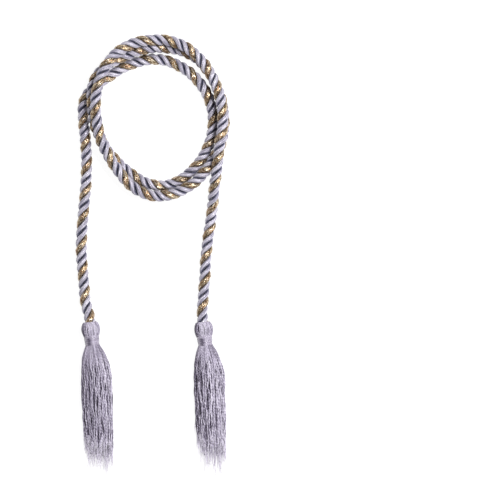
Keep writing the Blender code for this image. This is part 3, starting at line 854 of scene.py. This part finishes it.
def frayed_threads(yarns, pick, chance):
    """The threads that spread from the picked yarns' ends: points, values of fibre and values of tone."""
    ends = yarns.ends[pick]
    first = SKIRT_START + (ends - SKIRT_START) * chance.uniform(0.93, 0.99, len(pick))
    last = ends + chance.exponential(0.0085, yarns.count)[pick] + chance.normal(0.002, 0.0020, len(pick))
    last = np.minimum(last, LONGEST_THREAD)
    share = np.linspace(0, 1, FRAYED_STEPS)
    distances = first[:, None] + (last - first)[:, None] * share
    paths, beside, outward = yarns.laid(pick, distances)
    spread = chance.normal(0, 1, (2, len(pick), 1)) * (0.00025 + 0.00045 * share)
    paths = paths + spread[0][..., None] * beside + np.abs(spread[1])[..., None] * outward
    thickness = FRAYED_RADIUS * chance.uniform(0.7, 1.3, (len(pick), 1)) * (1 - 0.85 * share**2)
    paths[..., 2] = np.maximum(paths[..., 2], thickness + FLOOR_CLEARANCE)
    # Painted light: the frayed threads are coloured paler than their yarns, with no flank shade, to offset
    # the shade among them.
    tone = thread_tone(0.3 * yarns.tone[pick] + 1.1, distances, FRAYED_SIDES, 0.0)
    fibre = thread_coordinates(chance, distances, FRAYED_SIDES)
    fibre[..., :2] = 1, 0
    return bundle_points(paths, beside, thickness, FRAYED_SIDES), fibre, tone


def make_skirt(side, seed, material):
    """Twisted yarns from the band to their frayed ends, drawn together into locks further down."""
    chance = np.random.default_rng(seed)
    yarns = Yarns(chance)
    pick = np.repeat(np.arange(yarns.count), FRAYED_THREADS)
    yarn_points, yarn_fibre, yarn_tone = twisted_yarns(yarns, chance)
    frayed_points, frayed_fibre, frayed_tone = frayed_threads(yarns, pick, chance)

    points = np.concatenate([yarn_points.reshape(-1, 3), frayed_points.reshape(-1, 3)])
    shift = yarn_points.size // 3
    faces = bundle_faces(yarns.count, YARN_STEPS, YARN_SIDES)
    faces += [[i + shift for i in face] for face in bundle_faces(len(pick), FRAYED_STEPS, FRAYED_SIDES)]
    values = {"fibre": np.concatenate([yarn_fibre.reshape(-1, 3), frayed_fibre.reshape(-1, 3)]),
              "tone": np.concatenate([yarn_tone.ravel(), frayed_tone.ravel()]),
              "looseness": 0.60 + 0.40 * smooth_step((-points[:, 1] - 0.028) / 0.022)}
    return build_threads("skirt", side, points, faces, values, material)


def make_filling(side, seed, material):
    """The yarns in the middle of the skirt, which show only at its open end."""
    chance = np.random.default_rng(seed)
    each = (FILLING_YARNS, 1)
    angles = chance.uniform(0, 2 * np.pi, each)
    reach = section_reach(angles) * FILLING_SHARE * np.sqrt(chance.uniform(0, 1, each))
    ends = chance.normal(FILLING_END, 0.0030, each)
    share = np.linspace(0, 1, FILLING_STEPS)
    distances = FILLING_START + (ends - FILLING_START) * share
    paths = skirt_points(distances, reach * np.cos(angles), reach * np.sin(angles))
    thickness = FILLING_RADIUS * chance.uniform(0.8, 1.2, each) * (1 - 0.4 * share**6)
    hints = np.broadcast_to((1.0, 0.0, 0.0), paths.shape)
    points = bundle_points(paths, hints, thickness, YARN_SIDES)
    own_tone = chance.normal(0.60, 0.12, FILLING_YARNS)
    # Painted shade: darker on the flanks that face into the bundle, and darker further in, towards the yarns'
    # starts.
    tone = thread_tone(own_tone, distances, YARN_SIDES, 0.30) - 0.60 * (1 - smooth_step(share))[None, :, None]
    values = {"fibre": thread_coordinates(chance, distances, YARN_SIDES).reshape(-1, 3), "tone": tone.ravel(),
              "looseness": np.ones(tone.size)}
    faces = bundle_faces(FILLING_YARNS, FILLING_STEPS, YARN_SIDES)
    return build_threads("filling", side, points, faces, values, material)


def make_tassels():
    """Both tassels."""
    thread = thread_material("tassel_thread", 0.45, 0.6, 0.0, srgb(62, 51, 74), srgb(166, 157, 180),
                             srgb(228, 221, 238), srgb(236, 230, 244))
    band_thread = thread_material("band_thread", 0.24, 1.0, 0.8, srgb(74, 64, 88), srgb(164, 155, 176),
                                  srgb(220, 212, 230), srgb(228, 221, 238))
    for number, side in enumerate(HEAD_TOPS):
        seed = 10 + 30 * number
        skirt = make_skirt(side, seed, thread)
        shade_core = make_shade_core(side, thread)
        filling = make_filling(side, seed + 3, thread)
        head = make_head(side, seed + 1, thread)
        band = make_band(side, seed + 2, band_thread)
        for piece, slot in ((skirt, "tassel_thread"), (shade_core, "tassel_thread"), (filling, "tassel_thread"),
                            (head, "tassel_thread"), (band, "binding_thread")):
            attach(piece, "root")
        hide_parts(f"{side}_tassel")
        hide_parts(f"{side}_binding")


# ---- the stage, lights and camera ----

def make_stage():
    """A plain pale floor that glows a little, as the photograph's background is nearly white."""
    reach, level = FLOOR_REACH, FLOOR_LEVEL
    corners = [(-reach, -reach, level), (reach, -reach, level), (reach, reach, level), (-reach, reach, level)]
    mesh = bpy.data.meshes.new("floor")
    mesh.from_pydata(corners, [], [(0, 1, 2, 3)])
    shader = Shader("plain_floor", 0.9, specular=0.0)
    shader.surface.inputs["Base Color"].default_value = (0.25, 0.25, 0.25, 1)
    shader.surface.inputs["Emission Color"].default_value = (1, 1, 1, 1)
    shader.surface.inputs["Emission Strength"].default_value = 0.92
    mesh.materials.append(shader.material)
    floor = bpy.data.objects.new("floor", mesh)
    bpy.context.scene.collection.objects.link(floor)


def make_light(name, place, size, power):
    """A square light that faces the middle of the tieback."""
    data = bpy.data.lights.new(name, "AREA")
    data.shape = "SQUARE"
    data.size = size
    data.energy = power
    light = bpy.data.objects.new(name, data)
    light.location = place
    aim = np.array(LIGHT_TARGET) - np.array(place)
    light.rotation_euler = Vector(aim).to_track_quat("-Z", "Y").to_euler()
    bpy.context.scene.collection.objects.link(light)


def make_lights():
    """Soft studio light from all round, a key light from the upper right and a faint one from the right."""
    world = bpy.data.worlds.new("studio")
    world.use_nodes = True
    background = world.node_tree.nodes["Background"]
    background.inputs["Color"].default_value = (1.0, 1.0, 1.0, 1)
    background.inputs["Strength"].default_value = 0.25
    bpy.context.scene.world = world
    make_light("top", place=(0.68, 0.45, 1.87), size=0.40, power=40)
    make_light("side", place=(2.0, 0.0, 0.7), size=0.5, power=8)
    bpy.context.scene.view_settings.view_transform = "Standard"


def make_camera():
    """Looks straight down on the middle of the photograph's frame, and shows as much as it does."""
    data = bpy.data.cameras.new("camera")
    data.lens, data.sensor_width = LENS, SENSOR
    camera = bpy.data.objects.new("camera", data)
    middle = PHOTO_PIXELS / 2
    distance = PHOTO_PIXELS * PIXEL * LENS / SENSOR
    camera.location = ((middle - ORIGIN_PIXEL[0]) * PIXEL, (ORIGIN_PIXEL[1] - middle) * PIXEL,
                       FOCUS_HEIGHT + distance)
    data.clip_end = 20
    bpy.context.scene.collection.objects.link(camera)
    bpy.context.scene.camera = camera


make_camera()
make_rope()
make_tassels()
make_stage()
make_lights()
